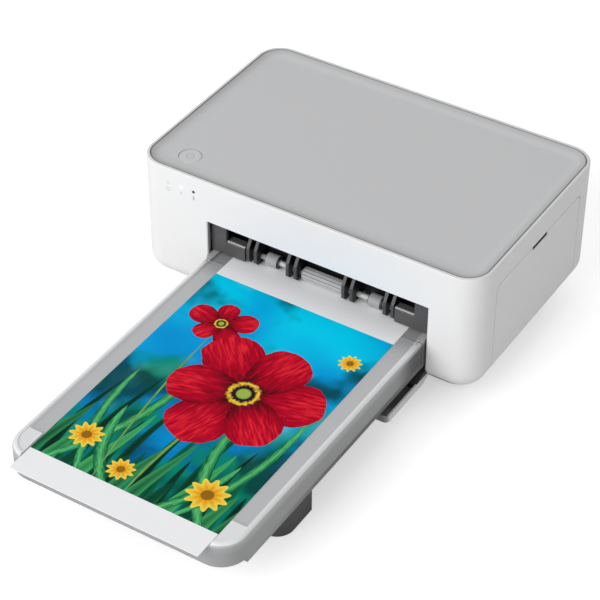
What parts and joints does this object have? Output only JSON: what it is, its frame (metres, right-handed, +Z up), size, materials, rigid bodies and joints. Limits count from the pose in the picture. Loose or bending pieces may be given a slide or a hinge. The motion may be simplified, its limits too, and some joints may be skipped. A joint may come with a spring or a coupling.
{
  "type": "compact photo printer",
  "caption": "Compact desktop photo printer with a front paper tray, lifting tray cover, fold-down flap, side ribbon door and a gear-driven paper path.",
  "frame": {"origin": "on the table under the middle of the whole printer with its tray and print", "axes": "+Z up, +X to the right seen from the front, -Y towards the paper tray"},
  "size_m": [0.1944, 0.301, 0.085],
  "materials": {
    "white_shell": "fine satin moulding",
    "panel": "light grey satin",
    "button_cap": "light grey satin",
    "circuit_board": "green board",
    "lens": "clear moulded light guide",
    "dark_plastic": "fine matt texture",
    "guide_plastic": "satin black",
    "grey_plastic": "light grey satin",
    "flap_shell": "light grey satin",
    "base_plastic": "fine matt texture",
    "door_shell": "fine satin moulding",
    "foot_rubber": "matt",
    "roller_rubber": "light grey, matt",
    "steel": "zinc plated",
    "shaft_white": "light acetal",
    "bronze": "sintered bronze",
    "gear_plastic": "natural acetal",
    "film": "dark thin film",
    "alloy": "extruded",
    "head_ceramic": "glazed strip",
    "blank_paper": "matt back",
    "print_paper": "glossy photo paper"
  },
  "bodies": {
    "machine": {"housing": "white_shell", "top_panel": "panel", "switch_board": "circuit_board", "indicator_lenses": "lens", "indicator_board": "circuit_board", "bezel": "dark_plastic", "exit_guide": "guide_plastic", "base_cover": "base_plastic", "rubber_feet": "foot_rubber", "base_screws": "steel", "left_plate": "steel", "right_plate": "steel", "shaft_bushes": "bronze", "bridge_plate": "steel", "gear_plate": "steel", "motor": "steel", "paper_guide": "guide_plastic", "arm_pivot": "steel", "cartridge_case": "dark_plastic", "ribbon_film": "film", "main_board": "circuit_board", "power_inlet": "dark_plastic"},
    "button": {"power_button": "button_cap"},
    "flap": {"front_flap": "flap_shell", "flap_liner": "dark_plastic", "flap_pins": "steel"},
    "door": {"ribbon_door": "door_shell", "door_pins": "steel"},
    "tray": {"tray_base": "dark_plastic", "tray_foot": "dark_plastic", "paper_stack": "blank_paper", "print_tail": "print_paper"},
    "cover": {"tray_cover": "grey_plastic", "print_sheet": "print_paper"},
    "lift": {"lift_plate": "steel"},
    "exit_rollers": {"exit_shaft": "shaft_white", "exit_centre_roller": "roller_rubber", "exit_short_rollers": "roller_rubber", "exit_roller_hubs": "guide_plastic", "exit_gear": "gear_plastic"},
    "lower_rollers": {"lower_idlers": "steel"},
    "pickup": {"pickup_shaft": "steel", "pickup_rollers": "roller_rubber", "pickup_gear": "gear_plastic"},
    "capstan_roller": {"capstan": "steel", "capstan_gear": "gear_plastic"},
    "pinch": {"pinch_roller": "steel"},
    "platen": {"platen_shaft": "steel", "platen_roller": "roller_rubber"},
    "idler": {"idler_gear": "gear_plastic"},
    "takeup": {"takeup_spool": "gear_plastic", "takeup_film_roll": "film", "takeup_gear": "gear_plastic"},
    "supply": {"supply_spool": "gear_plastic", "supply_film_roll": "film"},
    "motor_rotor": {"motor_pinion": "bronze", "motor_shaft": "steel"},
    "head": {"head_arm": "steel", "thermal_head": "head_ceramic", "heat_sink": "alloy"}
  },
  "joints": [
    {"name": "power_press", "type": "slide", "parent": "machine", "child": "button", "axis": [0, 0, -1], "range_m": [0, 0.0006], "stiffness_N_per_m": 300, "springref_m": -0.002},
    {"name": "flap_fold", "type": "hinge", "parent": "machine", "child": "flap", "pos_m": [0.008, 0.03125, 0.0196], "axis": [-1, 0, 0], "range_deg": [0, 9]},
    {"name": "door_swing", "type": "hinge", "parent": "machine", "child": "door", "pos_m": [0.09385, 0.0877, 0.01956], "axis": [0, 1, 0], "range_deg": [0, 90]},
    {"name": "tray_pull", "type": "slide", "parent": "machine", "child": "tray", "axis": [0, -1, 0], "range_m": [0, 0.028]},
    {"name": "cover_lift", "type": "hinge", "parent": "tray", "child": "cover", "pos_m": [0.008, 0.0208, 0.04], "axis": [-1, 0, 0], "range_deg": [0, 90]},
    {"name": "lift_press", "type": "hinge", "parent": "tray", "child": "lift", "pos_m": [0.008, -0.01915, 0.028], "axis": [1, 0, 0], "range_deg": [-1.5, 0], "stiffness_Nm_per_rad": 0.3, "springref_deg": 5.73},
    {"name": "head_lift", "type": "hinge", "parent": "machine", "child": "head", "pos_m": [0.008, 0.1337, 0.05], "axis": [-1, 0, 0], "range_deg": [0, 6]},
    {"name": "capstan_spin", "type": "hinge", "parent": "machine", "child": "capstan_roller", "pos_m": [0.008, 0.06699, 0.04365], "axis": [1, 0, 0], "continuous": true},
    {"name": "idler_spin", "type": "hinge", "parent": "machine", "child": "idler", "pos_m": [0.008, 0.05141, 0.05168], "axis": [1, 0, 0], "continuous": true},
    {"name": "exit_spin", "type": "hinge", "parent": "machine", "child": "exit_rollers", "pos_m": [0.008, 0.0346, 0.04415], "axis": [1, 0, 0], "continuous": true},
    {"name": "pickup_spin", "type": "hinge", "parent": "machine", "child": "pickup", "pos_m": [0.008, 0.0447, 0.0368], "axis": [1, 0, 0], "continuous": true},
    {"name": "takeup_spin", "type": "hinge", "parent": "machine", "child": "takeup", "pos_m": [0.008, 0.06751, 0.06], "axis": [1, 0, 0], "continuous": true},
    {"name": "motor_spin", "type": "hinge", "parent": "machine", "child": "motor_rotor", "pos_m": [0.008, 0.04355, 0.06529], "axis": [1, 0, 0], "continuous": true},
    {"name": "pinch_spin", "type": "hinge", "parent": "machine", "child": "pinch", "pos_m": [0.008, 0.06699, 0.0375], "axis": [1, 0, 0], "continuous": true},
    {"name": "platen_spin", "type": "hinge", "parent": "machine", "child": "platen", "pos_m": [0.008, 0.0897, 0.033], "axis": [1, 0, 0], "continuous": true},
    {"name": "lower_spin", "type": "hinge", "parent": "machine", "child": "lower_rollers", "pos_m": [0.008, 0.0346, 0.0386], "axis": [1, 0, 0], "continuous": true},
    {"name": "supply_spin", "type": "hinge", "parent": "machine", "child": "supply", "pos_m": [0.008, 0.1177, 0.06], "axis": [1, 0, 0], "continuous": true}
  ],
  "couplings": [
    {"joint": "idler_spin", "follows": "capstan_spin", "ratio": -0.45},
    {"joint": "exit_spin", "follows": "capstan_spin", "ratio": 0.85714},
    {"joint": "pickup_spin", "follows": "capstan_spin", "ratio": 1.2857},
    {"joint": "takeup_spin", "follows": "capstan_spin", "ratio": 0.9},
    {"joint": "motor_spin", "follows": "capstan_spin", "ratio": 1.5},
    {"joint": "pinch_spin", "follows": "capstan_spin", "ratio": -1.2},
    {"joint": "platen_spin", "follows": "capstan_spin", "ratio": -0.42857},
    {"joint": "lower_spin", "follows": "capstan_spin", "ratio": -2.1429}
  ]
}
